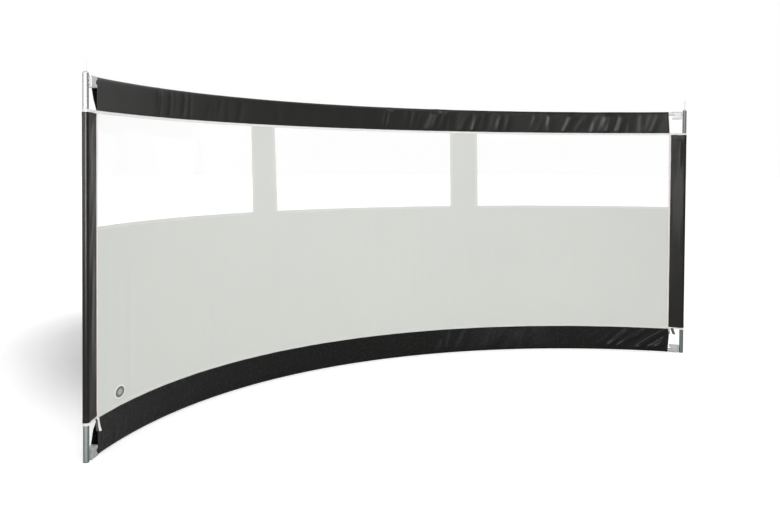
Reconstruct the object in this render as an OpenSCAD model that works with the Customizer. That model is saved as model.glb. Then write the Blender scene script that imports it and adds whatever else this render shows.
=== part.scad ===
// Bowed beach windbreak: one bay of cloth with three clear windows, stretched
// between two curved rails and two upright posts. The bow lets it stand by itself.
// Distances called s run along the bow from the left post's axis. The cloth's
// middle plane, both rails and both posts lie on one upright cylinder.
// +Z is up, +X runs from the left post to the right one, and the bow bulges to +Y.

/* [Bay] */
// Length of the bow between the post axes, in mm
bay_len = 3815; // [3000:5:4500]
// Angle that the bow turns through, in degrees
bow_angle = 100.5; // [60:0.5:130]

/* [Posts] */
// Height of each post with its plug and foot
post_h = 1400; // [1200:5:1800]
// Outer diameter of the post tubes
post_d = 22; // [20:1:30]
// Wall thickness of the post tubes
post_wall = 1.5; // [1:0.1:2.5]
// Height of the round top of each top plug
top_plug_h = 8; // [4:1:14]
// Height of the flange under each post
foot_h = 4; // [2:1:10]
// Depth that the plugs and feet reach into the tubes
insert_len = 25; // [10:1:40]

/* [Top pins] */
// Diameter of the pin on each post
pin_d = 5; // [4:0.5:8]
// Height of the pins above the posts
pin_rise = 48; // [20:1:80]
// Diameter of the pin's shank, which is pressed into the plug
pin_shank_d = 4; // [2:0.5:4]

/* [Rails] */
// Outer diameter of the rail tubes
rail_d = 19; // [16:0.5:22]
// Wall thickness of the rail tubes
rail_wall = 1.5; // [1:0.1:2.5]
// Drop from the post tops to the top of the upper brackets
rail_drop = 13; // [0:1:60]

/* [Brackets] */
// Height of each rail end bracket
bracket_h = 42; // [34:1:60]
// Gap between the rail and each side of the bracket
bracket_gap = 0.5; // [0.2:0.1:3]
// Plate thickness of the brackets
bracket_t = 2; // [1.5:0.1:4]
// Gap between the post tube and the bracket, which the lug fills
lug_len = 9; // [5:1:20]
// Thickness of the lug plate
lug_t = 6; // [3:0.5:12]
// Radius of the round notch in each bracket's open end
notch_r = 10; // [6:0.5:14]
// Bare rail between the bracket and the sleeve
bare_rail = 8; // [4:1:30]

/* [Sleeves] */
// Thickness of the sleeve cloth
cloth_t = 2; // [1:0.1:3]
// Thickness where the two layers of a sleeve are sewn together
seam_t = 5; // [4:0.5:8]
// Height of the upper sleeve
top_band_h = 122; // [80:1:200]
// Height of the lower sleeve
bottom_band_h = 133; // [80:1:200]
// Width of the side sleeves from the post axis to the seam
side_band_w = 75; // [75:1:140]

/* [Panel] */
// Width of the pale piping round the panel
piping_w = 11; // [6:1:20]
// Thickness of the piping
piping_t = 5; // [4:0.5:8]
// Thickness of the panel cloth
panel_t = 3; // [2:0.1:4]
// Thickness of the clear window film
film_t = 2; // [1:0.1:4]
// Height of the window sills above the ground
sill_h = 840; // [500:5:1000]
// Place of the left pillar's near edge along the bow
left_pillar_s = 1170; // [900:5:1300]
// Place of the right pillar's near edge along the bow
right_pillar_s = 2447; // [2100:5:2700]
// Width of the cloth pillars between the windows
pillar_w = 163; // [100:1:250]

/* [Ties and patch] */
// Thickness of the corner tapes
tape_t = 2; // [1:0.1:3]
// Width of the tie tails
tie_w = 9; // [5:1:15]
// Length of the tie tails
tie_len = 42; // [20:1:60]
// Thickness of the tie tails
tie_t = 1.6; // [1:0.1:3]
// Angle between each tie tail and the vertical, in degrees
tie_lean = 14; // [5:1:30]
// Width of the blank oval patch
patch_w = 76; // [30:1:100]
// Height of the blank oval patch
patch_h = 50; // [30:1:60]
// Thickness of the blank oval patch
patch_t = 1.2; // [0.8:0.1:3]
// Distance of the patch from the left post's axis along the bow
patch_s = 251; // [180:1:500]
// Height of the patch above the ground
patch_z = 188; // [180:1:400]

/* [Hidden] */

round_fn = 64;                       // facets of small round pieces
bow_fn = 256;                        // facets of a full turn at the bow's radius
patch_points = 40;                   // corners of the patch's outline
eps = 1;                             // overshoot of a cutting solid

bow_r = bay_len / (bow_angle * PI / 180);
half_angle = bow_angle / 2;
post_r = post_d / 2;
bore_r = post_r - post_wall;
wrap_r = post_r + cloth_t;           // outside of the cloth round a post
rail_r = rail_d / 2;
sleeve_r = rail_r + cloth_t;         // outside of the cloth round a rail

// The outermost points are the cloth round the posts and the sleeve at the bow's crown
bow_y = -(bow_r + sleeve_r + bow_r * cos(half_angle) - wrap_r) / 2;

bracket_top_z = post_h - rail_drop;
top_rail_z = bracket_top_z - bracket_t - rail_r;
bottom_rail_z = bracket_t + rail_r;
top_sleeve_z = top_rail_z + sleeve_r;
bottom_sleeve_z = bottom_rail_z - sleeve_r;
top_seam_z = top_sleeve_z - top_band_h;
bottom_seam_z = bottom_sleeve_z + bottom_band_h;
panel_top_z = top_seam_z - piping_w;
panel_bottom_z = bottom_seam_z + piping_w;

bracket_depth = rail_d + 2 * (bracket_gap + bracket_t);
bracket_s = post_r + lug_len;        // near end of a bracket
sleeve_s = side_band_w;              // open end of the long sleeves
bracket_end_s = sleeve_s - bare_rail;
rail_s = bracket_s + bracket_t;      // the rail is welded to the bracket's end plate
panel_s = side_band_w + piping_w;    // near edge of the panel

// Angle of a place on the bow, clockwise from +Y
function angle_at(s) = s / bow_r * 180 / PI - half_angle;

// Sweeps a profile drawn as (radius, height) along the bow
module sweep(s0, s1) {
    translate([0, bow_y, 0])
        rotate([0, 0, 90 - angle_at(s1)])
            rotate_extrude(angle = angle_at(s1) - angle_at(s0), $fn = bow_fn)
                children();
}

// Upright band of cloth or film, centred on the bow
module band(s0, s1, z0, z1, t) {
    sweep(s0, s1)
        translate([bow_r - t / 2, z0])
            square([t, z1 - z0]);
}

// Local frame on the bow: X along it, Y outwards
module place(s) {
    translate([0, bow_y, 0])
        rotate([0, 0, -angle_at(s)])
            translate([0, bow_r, 0])
                children();
}

module right_side() {
    mirror([1, 0, 0]) children();
}

// ---- posts ----
module post() {
    color("silver")
        place(0)
            translate([0, 0, foot_h])
                difference() {
                    cylinder(r = post_r, h = post_h - top_plug_h - foot_h, $fn = round_fn);
                    translate([0, 0, -eps])
                        cylinder(r = bore_r, h = post_h, $fn = round_fn);
                }
}

module top_plug() {
    color("gainsboro")
        place(0)
            translate([0, 0, post_h - top_plug_h])
                difference() {
                    union() {
                        intersection() {
                            cylinder(r = post_r, h = top_plug_h, $fn = round_fn);
                            translate([0, 0, top_plug_h - post_r * 1.2])
                                sphere(r = post_r * 1.2, $fn = round_fn);
                        }
                        translate([0, 0, -insert_len])
                            cylinder(r = bore_r, h = insert_len + eps, $fn = round_fn);
                    }
                    translate([0, 0, -insert_len - eps])
                        cylinder(r = pin_shank_d / 2, h = post_h, $fn = round_fn);
                }
}

module foot() {
    color("dimgray")
        place(0) {
            cylinder(r = post_r, h = foot_h, $fn = round_fn);
            cylinder(r = bore_r, h = foot_h + insert_len, $fn = round_fn);
        }
}

module pin() {
    shank_len = top_plug_h + insert_len;
    color("whitesmoke")
        place(0) {
            translate([0, 0, post_h])
                cylinder(r = pin_d / 2, h = pin_rise, $fn = round_fn);
            translate([0, 0, post_h - shank_len])
                cylinder(r = pin_shank_d / 2, h = shank_len + eps, $fn = round_fn);
        }
}

// ---- brackets and rails ----
module lug(z0) {
    color("silver")
        place(0)
            difference() {
                translate([0, -lug_t / 2, z0])
                    cube([bracket_s, lug_t, bracket_h]);
                translate([0, 0, z0 - eps])
                    cylinder(r = post_r, h = bracket_h + 2 * eps, $fn = round_fn);
            }
}

// Folded plate, open outwards and towards the sleeve, with the rail inside it
module bracket(z0) {
    color("darkgray")
        place(0)
            translate([bracket_s, -bracket_depth / 2, z0])
                difference() {
                    cube([bracket_end_s - bracket_s, bracket_depth, bracket_h]);
                    translate([bracket_t, bracket_t, bracket_t])
                        cube([bracket_end_s, bracket_depth, bracket_h - 2 * bracket_t]);
                    translate([bracket_end_s - bracket_s, bracket_t + eps, bracket_h / 2])
                        rotate([90, 0, 0])
                            cylinder(r = notch_r, h = bracket_t + 2 * eps, $fn = round_fn);
                }
}

module rail(z) {
    color("silver")
        sweep(rail_s, bay_len - rail_s)
            translate([bow_r, z])
                difference() {
                    circle(r = rail_r, $fn = round_fn);
                    circle(r = rail_r - rail_wall, $fn = round_fn);
                }
}

// ---- sleeves ----
// Cloth round a rail at the foot of the profile, whose two layers close towards the seam
module sleeve_profile(height) {
    flare = sleeve_r - cloth_t / 4;
    difference() {
        union() {
            translate([bow_r, sleeve_r])
                circle(r = sleeve_r, $fn = round_fn);
            polygon([
                [bow_r - flare, sleeve_r], [bow_r + flare, sleeve_r],
                [bow_r + seam_t / 2, height], [bow_r - seam_t / 2, height]
            ]);
        }
        translate([bow_r, sleeve_r])
            circle(r = rail_r, $fn = round_fn);
    }
}

module long_sleeve(height) {
    color([0.22, 0.22, 0.21])
        sweep(sleeve_s, bay_len - sleeve_s)
            sleeve_profile(height);
}

// Cloth that wraps a post and runs on to the panel's seam. In plan it is flare each
// side of the post's axis and closes to end_t at the seam.
module wrap(z0, z1, r, flare, end_t) {
    seam_angle = angle_at(side_band_w) - angle_at(0);
    seam_in = bow_r - end_t / 2;
    seam_out = bow_r + end_t / 2;
    place(0)
        translate([0, 0, z0])
            difference() {
                union() {
                    cylinder(r = r, h = z1 - z0, $fn = round_fn);
                    linear_extrude(height = z1 - z0)
                        polygon([
                            [0, -flare],
                            [seam_in * sin(seam_angle), seam_in * cos(seam_angle) - bow_r],
                            [seam_out * sin(seam_angle), seam_out * cos(seam_angle) - bow_r],
                            [0, flare]
                        ]);
                }
                translate([0, 0, -eps])
                    cylinder(r = post_r, h = z1 - z0 + 2 * eps, $fn = round_fn);
            }
}

module side_sleeve() {
    color([0.26, 0.25, 0.24])
        wrap(panel_bottom_z, panel_top_z, wrap_r, wrap_r - cloth_t / 4, seam_t);
}

// ---- panel ----
module trim(s0, s1, z0, z1) {
    color("white") band(s0, s1, z0, z1, piping_t);
}

module cloth(s0, s1, z0, z1) {
    color([0.82, 0.83, 0.80]) band(s0, s1, z0, z1, panel_t);
}

module window(s0, s1) {
    color([0.9, 0.95, 1, 0.4]) band(s0, s1, sill_h, panel_top_z, film_t);
}

// Tape that runs on from the piping and loops round the post
module tape(z0) {
    color("white")
        wrap(z0, z0 + piping_w, post_r + tape_t, tape_t / 2, tape_t);
}

// Two tails that hang from the corner in front of the lower sleeve
module tie() {
    knot_w = 2 * tie_w;
    knot_y = -sleeve_r - tie_t;
    color("white")
        place(side_band_w)
            translate([0, knot_y, panel_bottom_z]) {
                for (side = [-1, 1])
                    rotate([0, side * tie_lean, 0])
                        translate([-tie_w / 2, 0, -tie_len])
                            cube([tie_w, tie_t, tie_len]);
                translate([-knot_w / 2, 0, -piping_w])
                    cube([knot_w, -knot_y - piping_t / 2, piping_w]);
            }
}

// Oval cut from a thin band that lies on the panel's sheltered face
module patch() {
    color("dimgray")
        intersection() {
            sweep(patch_s - patch_w, patch_s + patch_w)
                translate([bow_r - panel_t / 2 - patch_t, patch_z - patch_h])
                    square([patch_t, 2 * patch_h]);
            place(patch_s)
                translate([0, 0, patch_z])
                    rotate([90, 0, 0])
                        linear_extrude(height = patch_w, center = true)
                            polygon([
                                for (i = [0 : patch_points - 1])
                                    let (a = 360 * i / patch_points)
                                        [patch_w / 2 * cos(a), patch_h / 2 * sin(a)]
                            ]);
        }
}

post();  // left_post
right_side() post();  // right_post
top_plug();  // left_top_plug
right_side() top_plug();  // right_top_plug
foot();  // left_foot
right_side() foot();  // right_foot
pin();  // left_pin
right_side() pin();  // right_pin
lug(bracket_top_z - bracket_h);  // left_top_lug
right_side() lug(bracket_top_z - bracket_h);  // right_top_lug
lug(0);  // left_bottom_lug
right_side() lug(0);  // right_bottom_lug
bracket(bracket_top_z - bracket_h);  // left_top_bracket
right_side() bracket(bracket_top_z - bracket_h);  // right_top_bracket
bracket(0);  // left_bottom_bracket
right_side() bracket(0);  // right_bottom_bracket
rail(top_rail_z);  // top_rail
rail(bottom_rail_z);  // bottom_rail
translate([0, 0, top_sleeve_z]) mirror([0, 0, 1]) long_sleeve(top_band_h);  // top_sleeve
translate([0, 0, bottom_sleeve_z]) long_sleeve(bottom_band_h);  // bottom_sleeve
side_sleeve();  // left_sleeve
right_side() side_sleeve();  // right_sleeve
trim(side_band_w, bay_len - side_band_w, panel_top_z, top_seam_z);  // top_piping
trim(side_band_w, bay_len - side_band_w, bottom_seam_z, panel_bottom_z);  // bottom_piping
trim(side_band_w, panel_s, panel_bottom_z, panel_top_z);  // left_piping
right_side() trim(side_band_w, panel_s, panel_bottom_z, panel_top_z);  // right_piping
tape(panel_top_z);  // left_top_tape
right_side() tape(panel_top_z);  // right_top_tape
tape(bottom_seam_z);  // left_bottom_tape
right_side() tape(bottom_seam_z);  // right_bottom_tape
cloth(panel_s, bay_len - panel_s, panel_bottom_z, sill_h);  // lower_panel
cloth(left_pillar_s, left_pillar_s + pillar_w, sill_h, panel_top_z);  // left_pillar
cloth(right_pillar_s, right_pillar_s + pillar_w, sill_h, panel_top_z);  // right_pillar
window(panel_s, left_pillar_s);  // left_window
window(left_pillar_s + pillar_w, right_pillar_s);  // middle_window
window(right_pillar_s + pillar_w, bay_len - panel_s);  // right_window
tie();  // left_tie
right_side() tie();  // right_tie
patch();
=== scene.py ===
import math

import bpy
import numpy as np
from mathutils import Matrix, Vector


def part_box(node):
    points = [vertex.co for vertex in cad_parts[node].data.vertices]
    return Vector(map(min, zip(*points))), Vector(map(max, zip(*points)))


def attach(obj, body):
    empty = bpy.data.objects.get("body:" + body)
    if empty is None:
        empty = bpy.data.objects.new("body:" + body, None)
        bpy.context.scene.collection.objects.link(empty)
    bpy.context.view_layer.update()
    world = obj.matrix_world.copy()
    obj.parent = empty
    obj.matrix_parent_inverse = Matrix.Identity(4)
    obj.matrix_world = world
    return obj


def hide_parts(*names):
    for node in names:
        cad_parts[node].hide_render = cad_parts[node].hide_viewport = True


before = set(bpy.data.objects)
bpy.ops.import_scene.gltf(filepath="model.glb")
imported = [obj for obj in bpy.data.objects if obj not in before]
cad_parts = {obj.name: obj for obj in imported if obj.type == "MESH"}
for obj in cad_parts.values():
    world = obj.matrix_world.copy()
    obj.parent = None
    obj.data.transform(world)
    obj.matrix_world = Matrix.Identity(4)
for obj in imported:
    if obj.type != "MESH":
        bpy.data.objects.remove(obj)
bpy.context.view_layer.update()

print("frame loaded with", len(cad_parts), "nodes")


# Lowest and highest value of a node's box along one axis
def spanOf(node, axis):
    low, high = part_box(node)
    return low[axis], high[axis]


# The bow is worked out from the frame: the posts give its chord and the upper rod its crown
postWest, postEast = spanOf("right_post", 0)
postSouth, postNorth = spanOf("right_post", 1)
postX = (postWest + postEast) / 2
postY = (postSouth + postNorth) / 2
postRadius = (postEast - postWest) / 2
railLow, railHigh = spanOf("top_rail", 2)
railRadius = (railHigh - railLow) / 2
topRailZ = (railLow + railHigh) / 2
bottomRailZ = sum(spanOf("bottom_rail", 2)) / 2
crownY = spanOf("top_rail", 1)[1] - railRadius
sag = crownY - postY
bowRadius = (postX ** 2 + sag ** 2) / (2 * sag)
bowY = crownY - bowRadius
halfAngle = math.asin(postX / bowRadius)
bowLength = 2 * bowRadius * halfAngle

# Heights of the seams
topSeamZ = spanOf("top_sleeve", 2)[0]
bottomSeamZ = spanOf("bottom_sleeve", 2)[1]
panelBottomZ, panelTopZ = spanOf("left_piping", 2)
sillZ = spanOf("lower_panel", 2)[1]
pipingHeight = topSeamZ - panelTopZ


# A place on the bow: s metres along it from the left post, q outwards from it, z up
def bowPoint(s, q, z):
    turn = s / bowRadius - halfAngle
    out = bowRadius + q
    s, q, z, turn, out = np.broadcast_arrays(s, q, z, turn, out)
    return np.stack([out * np.sin(turn), bowY + out * np.cos(turn), z], axis=-1)


# A place near a post: inward metres along the bow from the post's axis, q outwards, z up
def nearPost(side, inward, q, z):
    return bowPoint(inward if side == "left" else bowLength - inward, q, z)


# The same for a cloth wrapped round a post, mirrored at the left so that its face is outside
def wrapPoint(side, inward, q, z):
    return nearPost(side, inward, -q if side == "left" else q, z)


# Distance along the bow of a place that is x metres right of the middle
def alongFromX(x):
    return bowRadius * (math.asin(x / bowRadius) + halfAngle)


# Goes from 0 to 1 between low and high with level ends: 3t^2 - 2t^3
def smoothStep(value, low, high):
    t = np.clip((value - low) / (high - low), 0, 1)
    return t * t * (3 - 2 * t)


# Unit normals of a grid: its slope across, crossed with its slope along
def gridNormals(points):
    across = np.gradient(points, axis=1)
    along = np.gradient(points, axis=0)
    normal = np.cross(across, along)
    return normal / np.linalg.norm(normal, axis=2, keepdims=True)


# Edges that turn by more degrees are sharp: on cloth and strips, and on small round pieces
clothCrease = 50
roundCrease = 80


# Puts points, four-sided faces and the cloth place of each face corner into a new object
def makePiece(name, points, quads, cornerPlaces, material, creaseAngle=clothCrease):
    used, quads = np.unique(quads, return_inverse=True)
    quads = quads.reshape(-1, 4)
    mesh = bpy.data.meshes.new(name)
    mesh.vertices.add(len(used))
    mesh.vertices.foreach_set("co", points[used].astype(np.float32).ravel())
    mesh.loops.add(quads.size)
    mesh.loops.foreach_set("vertex_index", quads.astype(np.int32).ravel())
    mesh.polygons.add(len(quads))
    mesh.polygons.foreach_set("loop_start", np.arange(0, quads.size, 4, dtype=np.int32))
    mesh.polygons.foreach_set("use_smooth", np.ones(len(quads), dtype=bool))
    mesh.update(calc_edges=True)
    layer = mesh.uv_layers.new(name="clothPlace")
    layer.data.foreach_set("uv", cornerPlaces.astype(np.float32).ravel())
    mesh.validate()
    mesh.set_sharp_from_angle(angle=math.radians(creaseAngle))
    mesh.materials.append(material)
    piece = bpy.data.objects.new(name, mesh)
    bpy.context.scene.collection.objects.link(piece)
    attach(piece, "root")
    return piece


# Gives each vertex of a two-skinned cloth a value that its material reads
def addAttribute(piece, name, values, quads):
    used = np.unique(quads)
    layer = piece.data.attributes.new(name, "FLOAT", "POINT")
    layer.data.foreach_set("value", np.concatenate([values.ravel()] * 2)[used].astype(np.float32))


# Four-sided faces of both skins of a grid, and of the rims that close every open edge
# between them. keep marks the cells that are cloth.
def clothQuads(rows, cols, keep):
    count = rows * cols
    index = np.arange(count).reshape(rows, cols)
    front = np.stack([index[:-1, :-1], index[:-1, 1:], index[1:, 1:], index[1:, :-1]], axis=-1)
    front = front[keep]
    back = front[:, ::-1] + count
    framed = np.pad(keep, 1)
    before, after = framed[:-1, 1:-1], framed[1:, 1:-1]
    edges = [np.stack([index[:, 1:], index[:, :-1]], axis=-1)[after & ~before]]
    edges.append(np.stack([index[:, :-1], index[:, 1:]], axis=-1)[before & ~after])
    before, after = framed[1:-1, :-1], framed[1:-1, 1:]
    edges.append(np.stack([index[:-1], index[1:]], axis=-1)[after & ~before])
    edges.append(np.stack([index[1:], index[:-1]], axis=-1)[before & ~after])
    edges = np.concatenate(edges)
    rims = np.stack([edges[:, 0], edges[:, 1], edges[:, 1] + count, edges[:, 0] + count], axis=-1)
    return np.concatenate([front, back, rims])


# Gives a grid of points a thickness, half of it each way along its normals. places say
# where each point lies on the flat cloth.
def makeCloth(name, points, places, thickness, material, keep=None):
    rows, cols = points.shape[:2]
    keep = np.ones((rows - 1, cols - 1), dtype=bool) if keep is None else keep
    normals = gridNormals(points)
    thickness = np.broadcast_to(thickness, (rows, cols))[..., None]
    skins = np.concatenate([points + normals * thickness / 2, points - normals * thickness / 2])
    quads = clothQuads(rows, cols, keep)
    corners = places.reshape(-1, 2)[quads % (rows * cols)]
    piece = makePiece(name, skins.reshape(-1, 3), quads, corners, material)
    sheet = {"points": points, "normals": normals, "thickness": thickness, "quads": quads}
    return piece, sheet


# Skins a tube through closed rings of points and closes both ends with ladders of faces
def makeTube(name, rings, places, material, creaseAngle=clothCrease):
    rows, cols = rings.shape[:2]
    row, col = np.meshgrid(np.arange(rows - 1), np.arange(cols), indexing="ij")
    corner = np.stack([row, row, row + 1, row + 1], axis=-1).reshape(-1, 4)
    step = np.stack([col, col + 1, col + 1, col], axis=-1).reshape(-1, 4)
    sides = corner * cols + step % cols
    sidePlaces = places[corner, step]
    rung = np.arange(cols // 2 - 1)
    cap = np.stack([rung, cols - 1 - rung, cols - 2 - rung, rung + 1], axis=-1)
    caps = np.concatenate([cap, cap[:, ::-1] + (rows - 1) * cols])
    capPlaces = places[caps // cols, caps % cols]
    quads = np.concatenate([sides, caps])
    corners = np.concatenate([sidePlaces, capPlaces])
    return makePiece(name, rings.reshape(-1, 3), quads, corners, material, creaseAngle)


# Raised creases on a cloth, seeded: each is a bell across its own slanted line, broader on
# one side by its skew, and it tapers to nothing at both ends of the line
def creases(along, across, plan, seed):
    draw = np.random.default_rng(seed)
    total = np.zeros(along.shape)
    for _ in range(plan["count"]):
        midAlong = draw.uniform(*plan["along"])
        midAcross = draw.uniform(*plan["across"])
        slant = math.radians(draw.uniform(*plan["slant"]))
        width = draw.uniform(*plan["width"])
        length = draw.uniform(*plan["length"])
        height = draw.uniform(*plan["height"])
        side = (along - midAlong) * math.cos(slant) - (across - midAcross) * math.sin(slant)
        down = (along - midAlong) * math.sin(slant) + (across - midAcross) * math.cos(slant)
        bell = np.where(side > 0, width * plan.get("skew", 1.0), width)
        total += height * np.exp(-(side / bell) ** 2) * np.exp(-(down / length) ** 4)
    return total


# Slow swells: a few long sine waves with seeded lengths and starts
def swells(along, across, plan, seed):
    draw = np.random.default_rng(seed)
    total = np.zeros(along.shape)
    for _ in range(plan["count"]):
        phase = along / draw.uniform(*plan["alongWave"]) + across / draw.uniform(*plan["acrossWave"])
        total += np.sin(2 * math.pi * (phase + draw.uniform(0, 1)))
    return total * plan["height"] / plan["count"]


# A shader node with some of its sockets and settings given
def addNode(tree, kind, values=None, **settings):
    node = tree.nodes.new(kind)
    for key, value in settings.items():
        setattr(node, key, value)
    for key, value in (values or {}).items():
        node.inputs[key].default_value = value
    return node


def link(tree, fromSocket, toSocket):
    tree.links.new(fromSocket, toSocket)


# A chain-friendly Math node: first and second may be sockets or numbers
def mathNode(tree, operation, first, second=0.0, third=0.0):
    node = addNode(tree, "ShaderNodeMath", operation=operation)
    for place, value in enumerate((first, second, third)):
        if isinstance(value, (int, float)):
            node.inputs[place].default_value = value
        else:
            link(tree, value, node.inputs[place])
    return node.outputs[0]


# A mix of two colours, where the factor and the colours may be sockets or values
def mixColour(tree, factor, first, second):
    node = addNode(tree, "ShaderNodeMix", data_type="RGBA")
    for place, value in ((0, factor), (6, first), (7, second)):
        if hasattr(value, "is_output"):
            link(tree, value, node.inputs[place])
        elif place == 0:
            node.inputs[place].default_value = value
        else:
            node.inputs[place].default_value = (*value, 1)
    return node.outputs[2]


# The place of a surface point, as one socket for each axis
def splitPlace(tree, kind):
    place = addNode(tree, "ShaderNodeTexCoord")
    split = addNode(tree, "ShaderNodeSeparateXYZ")
    link(tree, place.outputs[kind], split.inputs[0])
    return split.outputs


# Joins sockets for x, y and z into a vector
def joinPlace(tree, *axes):
    joined = addNode(tree, "ShaderNodeCombineXYZ")
    for place, axis in enumerate(axes):
        link(tree, axis, joined.inputs[place])
    return joined.outputs[0]


def mixShaders(tree, factor, first, second):
    mixed = addNode(tree, "ShaderNodeMixShader")
    for place, socket in enumerate((factor, first, second)):
        link(tree, socket, mixed.inputs[place])
    return mixed.outputs[0]


# Starts a node group with number sockets, and its input and output nodes
def newGroup(name, inputs, outputs):
    group = bpy.data.node_groups.new(name, "ShaderNodeTree")
    for label, value in inputs.items():
        socket = group.interface.new_socket(label, in_out="INPUT", socket_type="NodeSocketFloat")
        socket.default_value = value
    for label in outputs:
        group.interface.new_socket(label, in_out="OUTPUT", socket_type="NodeSocketFloat")
    start = addNode(group, "NodeGroupInput")
    end = addNode(group, "NodeGroupOutput")
    return group, start, end


weave = {
    "pitch": 0.001, "rowNoise": {"Scale": 0.37, "Detail": 1.0}, "weftStep": 0.02,
    "yarnTone": 0.5, "rowTone": 0.5,
}


# Plain weave: warp and weft threads rise and dive in turn, with thick and thin yarns.
# Height is the relief of the threads and Tone their slight difference in shade.
def buildWeaveGroup(plan):
    group, start, end = newGroup("plainWeave", {"Pitch": plan["pitch"]}, ("Height", "Tone"))
    rows = []
    rounds = []
    for axis in splitPlace(group, "UV")[:2]:
        thread = mathNode(group, "DIVIDE", axis, start.outputs["Pitch"])
        rows.append(mathNode(group, "FLOOR", thread))
        turn = mathNode(group, "MULTIPLY", thread, math.pi)
        rounds.append(mathNode(group, "ABSOLUTE", mathNode(group, "SINE", turn)))
    yarn = addNode(group, "ShaderNodeMix", data_type="FLOAT")
    over = mathNode(group, "FLOORED_MODULO", mathNode(group, "ADD", *rows), 2.0)
    for place, value in ((0, over), (2, rounds[0]), (3, rounds[1])):
        link(group, value, yarn.inputs[place])
    rowNoise = addNode(group, "ShaderNodeTexNoise", plan["rowNoise"], noise_dimensions="2D")
    weftRow = mathNode(group, "MULTIPLY", rows[1], plan["weftStep"])
    link(group, joinPlace(group, rows[0], weftRow), rowNoise.inputs["Vector"])
    rowShade = mathNode(group, "MULTIPLY", rowNoise.outputs[0], plan["rowTone"])
    tone = mathNode(group, "MULTIPLY_ADD", yarn.outputs[0], plan["yarnTone"], rowShade)
    link(group, yarn.outputs[0], end.inputs["Height"])
    link(group, tone, end.inputs["Tone"])
    return group


# Each mark has the input that sets its scale, and the grain of its noise
handling = {
    "Blotch": ("Scale", {"Detail": 3.0, "Roughness": 0.55}),
    "Speck": ("Fine", {"Detail": 2.0, "Roughness": 0.6}),
}


# Handling marks: soft blotches and finer specks from noise on the object's own place
def buildMarksGroup(plan):
    group, start, end = newGroup("handlingMarks", {"Scale": 3.0, "Fine": 60.0}, tuple(plan))
    place = addNode(group, "ShaderNodeTexCoord")
    for mark, (scale, grain) in plan.items():
        noise = addNode(group, "ShaderNodeTexNoise", grain)
        link(group, place.outputs["Object"], noise.inputs["Vector"])
        link(group, start.outputs[scale], noise.inputs["Scale"])
        link(group, noise.outputs[0], end.inputs[mark])
    return group


# Drawn-metal streaks: noise stretched along the height of the piece
def buildStreakGroup(grain):
    group, start, end = newGroup("drawnStreaks", {"Scale": 400.0, "Stretch": 0.02}, ("Streak",))
    x, y, z = splitPlace(group, "Object")
    squeezed = mathNode(group, "MULTIPLY", z, start.outputs["Stretch"])
    noise = addNode(group, "ShaderNodeTexNoise", grain)
    link(group, joinPlace(group, x, y, squeezed), noise.inputs["Vector"])
    link(group, start.outputs["Scale"], noise.inputs["Scale"])
    link(group, noise.outputs[0], end.inputs["Streak"])
    return group


weaveGroup = buildWeaveGroup(weave)
marksGroup = buildMarksGroup(handling)
streakGroup = buildStreakGroup({"Detail": 3.0, "Roughness": 0.6})
print("effect groups built")


# Starts a material with its output and a Principled shader
def newMaterial(name, values):
    material = bpy.data.materials.new(name)
    material.use_nodes = True
    tree = material.node_tree
    tree.nodes.clear()
    output = addNode(tree, "ShaderNodeOutputMaterial")
    shader = addNode(tree, "ShaderNodeBsdfPrincipled", values)
    link(tree, shader.outputs[0], output.inputs[0])
    return material, tree, shader, output


def placeGroup(tree, group, values):
    return addNode(tree, "ShaderNodeGroup", values, node_tree=group)


# The handling marks at a look's own scales, and its two shades mixed by the blotches
def placeMarks(tree, look):
    marks = placeGroup(tree, marksGroup, {"Scale": look["blotchScale"], "Fine": look["speckScale"]})
    return marks, mixColour(tree, marks.outputs["Blotch"], look["dark"], look["light"])


# A roughness that rises from a look's own value as a mask goes from 0 to 1
def spreadRough(tree, look, mask):
    return mathNode(tree, "MULTIPLY_ADD", mask, look["roughSpread"], look["rough"])


# Joins a colour and a roughness to a shader, and a height to its normal through a Bump node
def dressShader(tree, shader, colour, rough, height, relief):
    link(tree, colour, shader.inputs["Base Color"])
    link(tree, rough, shader.inputs["Roughness"])
    bump = addNode(tree, "ShaderNodeBump", {"Distance": relief})
    link(tree, height, bump.inputs["Height"])
    link(tree, bump.outputs[0], shader.inputs["Normal"])


# Woven cloth: two shades mixed by soft blotches and then by the threads, a roughness that
# follows the specks, and the threads' relief. A hem may be paler.
def clothMaterial(name, look):
    material, tree, shader, _ = newMaterial(name, look["shader"])
    threads = placeGroup(tree, weaveGroup, {"Pitch": look["pitch"]})
    marks, shade = placeMarks(tree, look)
    share = mathNode(tree, "MULTIPLY", threads.outputs["Tone"], look["threadTone"])
    colour = mixColour(tree, share, shade, look["thread"])
    if "hem" in look:
        hem = addNode(tree, "ShaderNodeAttribute", attribute_name="hem")
        pale = mathNode(tree, "MULTIPLY", hem.outputs["Fac"], look["hemShare"])
        colour = mixColour(tree, pale, colour, look["hem"])
    rough = spreadRough(tree, look, marks.outputs["Speck"])
    dressShader(tree, shader, colour, rough, threads.outputs["Height"], look["relief"])
    return material


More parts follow.
